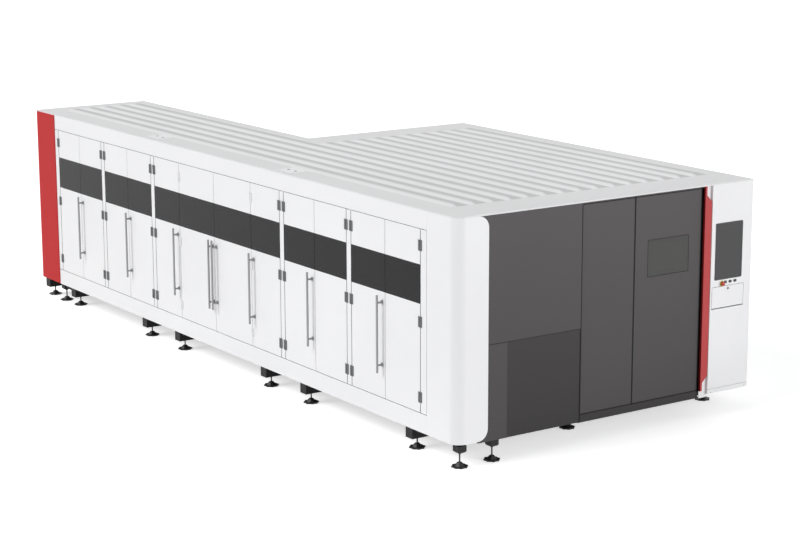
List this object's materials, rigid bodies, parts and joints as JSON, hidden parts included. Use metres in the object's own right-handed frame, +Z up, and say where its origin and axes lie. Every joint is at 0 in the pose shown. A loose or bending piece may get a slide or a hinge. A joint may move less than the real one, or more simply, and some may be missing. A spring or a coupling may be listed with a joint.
{
  "type": "fiber laser cutting machine",
  "caption": "Enclosed sheet and tube laser cutting machine, L-shaped in plan, with glazed side doors, a dark sliding front door and an operator console.",
  "frame": {"origin": "on the floor under the middle of the machine's bounding box", "axes": "+X to the right along the operator front, +Y back along the door side, +Z up"},
  "size_m": [3.631, 8.734, 2.32],
  "materials": {
    "white_paint": "satin",
    "red_paint": "satin",
    "dark_paint": "satin",
    "black_paint": "satin",
    "grey_paint": "satin",
    "dark_glass": "gloss",
    "black_glass": "gloss",
    "steel": "brushed",
    "bare_steel": "satin",
    "red_plastic": "gloss",
    "grey_plastic": "matte"
  },
  "bodies": {
    "machine": {"base_frame": "black_paint", "levelling_feet": "black_paint", "side_frame": "white_paint", "corner_column": "white_paint", "end_panel": "red_paint", "rear_walls": "white_paint", "roof": "white_paint", "front_panels": "dark_paint", "red_trim": "red_paint", "console_body": "white_paint", "console_screen": "black_glass", "hinge_plates": "grey_paint", "slat_table": "bare_steel", "bed_rails": "bare_steel", "laser_source": "white_paint"},
    "leaf_1_near": {"door_1_near": "white_paint", "pane_1_near": "dark_glass"},
    "leaf_1_far": {"door_1_far": "white_paint", "pane_1_far": "dark_glass", "handle_1_far": "steel"},
    "leaf_2_near": {"door_2_near": "white_paint", "pane_2_near": "dark_glass"},
    "leaf_2_far": {"door_2_far": "white_paint", "pane_2_far": "dark_glass", "handle_2_far": "steel"},
    "leaf_3_near": {"door_3_near": "white_paint", "pane_3_near": "dark_glass", "handle_3_near": "steel"},
    "leaf_3_near_fold": {"door_3_near_fold": "white_paint", "pane_3_near_fold": "dark_glass", "handle_3_near_fold": "steel"},
    "leaf_3_far_fold": {"door_3_far_fold": "white_paint", "pane_3_far_fold": "dark_glass", "handle_3_far_fold": "steel"},
    "leaf_3_far": {"door_3_far": "white_paint", "pane_3_far": "dark_glass", "handle_3_far": "steel"},
    "leaf_4_near": {"door_4_near": "white_paint", "pane_4_near": "dark_glass", "handle_4_near": "steel"},
    "leaf_4_far": {"door_4_far": "white_paint", "pane_4_far": "dark_glass"},
    "leaf_5_near": {"door_5_near": "white_paint", "pane_5_near": "dark_glass", "handle_5_near": "steel"},
    "leaf_5_far": {"door_5_far": "white_paint", "pane_5_far": "dark_glass"},
    "front_door": {"front_door": "dark_paint", "front_door_window": "dark_glass"},
    "stop_button": {"stop_button": "red_plastic"},
    "push_button_1": {"push_button_1": "grey_plastic"},
    "push_button_2": {"push_button_2": "grey_plastic"},
    "push_button_3": {"push_button_3": "grey_plastic"},
    "keyboard_flap": {"keyboard_flap": "grey_plastic"},
    "gantry": {"gantry_beam": "grey_paint"},
    "carriage": {"carriage": "grey_paint"},
    "cutting_head": {"cutting_head": "steel"},
    "chuck_carriage": {"chuck_carriage": "grey_paint"},
    "rear_chuck": {"rear_chuck": "steel"},
    "front_chuck": {"front_chuck": "steel"}
  },
  "joints": [
    {"name": "hinge_1_near", "type": "hinge", "parent": "machine", "child": "leaf_1_near", "pos_m": [-1.7515, -3.78, 0.552], "axis": [0, 0, 1], "range_deg": [0, 85]},
    {"name": "hinge_1_far", "type": "hinge", "parent": "machine", "child": "leaf_1_far", "pos_m": [-1.7515, -2.64, 0.552], "axis": [0, 0, -1], "range_deg": [0, 85]},
    {"name": "hinge_2_near", "type": "hinge", "parent": "machine", "child": "leaf_2_near", "pos_m": [-1.7515, -2.555, 0.552], "axis": [0, 0, 1], "range_deg": [0, 85]},
    {"name": "hinge_2_far", "type": "hinge", "parent": "machine", "child": "leaf_2_far", "pos_m": [-1.7515, -1.415, 0.552], "axis": [0, 0, -1], "range_deg": [0, 85]},
    {"name": "hinge_3_near", "type": "hinge", "parent": "machine", "child": "leaf_3_near", "pos_m": [-1.7515, -1.33, 0.552], "axis": [0, 0, 1], "range_deg": [0, 85]},
    {"name": "hinge_3_near_fold", "type": "hinge", "parent": "leaf_3_near", "child": "leaf_3_near_fold", "pos_m": [-1.7515, -0.76, 0.552], "axis": [0, 0, 1], "range_deg": [0, 80]},
    {"name": "hinge_3_far_fold", "type": "hinge", "parent": "leaf_3_far", "child": "leaf_3_far_fold", "pos_m": [-1.7515, 0.765, 0.552], "axis": [0, 0, -1], "range_deg": [0, 80]},
    {"name": "hinge_3_far", "type": "hinge", "parent": "machine", "child": "leaf_3_far", "pos_m": [-1.7515, 1.335, 0.552], "axis": [0, 0, -1], "range_deg": [0, 85]},
    {"name": "hinge_4_near", "type": "hinge", "parent": "machine", "child": "leaf_4_near", "pos_m": [-1.7515, 1.42, 0.552], "axis": [0, 0, 1], "range_deg": [0, 85]},
    {"name": "hinge_4_far", "type": "hinge", "parent": "machine", "child": "leaf_4_far", "pos_m": [-1.7515, 2.56, 0.552], "axis": [0, 0, -1], "range_deg": [0, 85]},
    {"name": "hinge_5_near", "type": "hinge", "parent": "machine", "child": "leaf_5_near", "pos_m": [-1.7515, 2.645, 0.552], "axis": [0, 0, 1], "range_deg": [0, 85]},
    {"name": "hinge_5_far", "type": "hinge", "parent": "machine", "child": "leaf_5_far", "pos_m": [-1.7515, 3.785, 0.552], "axis": [0, 0, -1], "range_deg": [0, 85]},
    {"name": "front_door_slide", "type": "slide", "parent": "machine", "child": "front_door", "axis": [1, 0, 0], "range_m": [-1.35, 0]},
    {"name": "stop_press", "type": "slide", "parent": "machine", "child": "stop_button", "axis": [0, 1, 0], "range_m": [0, 0.004], "stiffness_N_per_m": 1500},
    {"name": "button_1_press", "type": "slide", "parent": "machine", "child": "push_button_1", "axis": [0, 1, 0], "range_m": [0, 0.003], "stiffness_N_per_m": 1000},
    {"name": "button_2_press", "type": "slide", "parent": "machine", "child": "push_button_2", "axis": [0, 1, 0], "range_m": [0, 0.003], "stiffness_N_per_m": 1000},
    {"name": "button_3_press", "type": "slide", "parent": "machine", "child": "push_button_3", "axis": [0, 1, 0], "range_m": [0, 0.003], "stiffness_N_per_m": 1000},
    {"name": "flap_hinge", "type": "hinge", "parent": "machine", "child": "keyboard_flap", "pos_m": [1.515, -4.325, 1.076], "axis": [1, 0, 0], "range_deg": [0, 90]},
    {"name": "gantry_travel", "type": "slide", "parent": "machine", "child": "gantry", "axis": [0, 1, 0], "range_m": [-2.95, 0.1]},
    {"name": "carriage_travel", "type": "slide", "parent": "gantry", "child": "carriage", "axis": [1, 0, 0], "range_m": [-1.75, 0.64]},
    {"name": "head_travel", "type": "slide", "parent": "carriage", "child": "cutting_head", "axis": [0, 0, 1], "range_m": [-0.13, 0]},
    {"name": "chuck_travel", "type": "slide", "parent": "machine", "child": "chuck_carriage", "axis": [0, 1, 0], "range_m": [-2.6, 0.2]},
    {"name": "rear_chuck_spin", "type": "hinge", "parent": "chuck_carriage", "child": "rear_chuck", "pos_m": [-1.0145, 3.567, 1.18], "axis": [0, 1, 0], "continuous": true},
    {"name": "front_chuck_spin", "type": "hinge", "parent": "machine", "child": "front_chuck", "pos_m": [-1.0145, 0.242, 1.18], "axis": [0, 1, 0], "continuous": true}
  ],
  "couplings": [
    {"joint": "front_chuck_spin", "follows": "rear_chuck_spin", "ratio": 1}
  ]
}
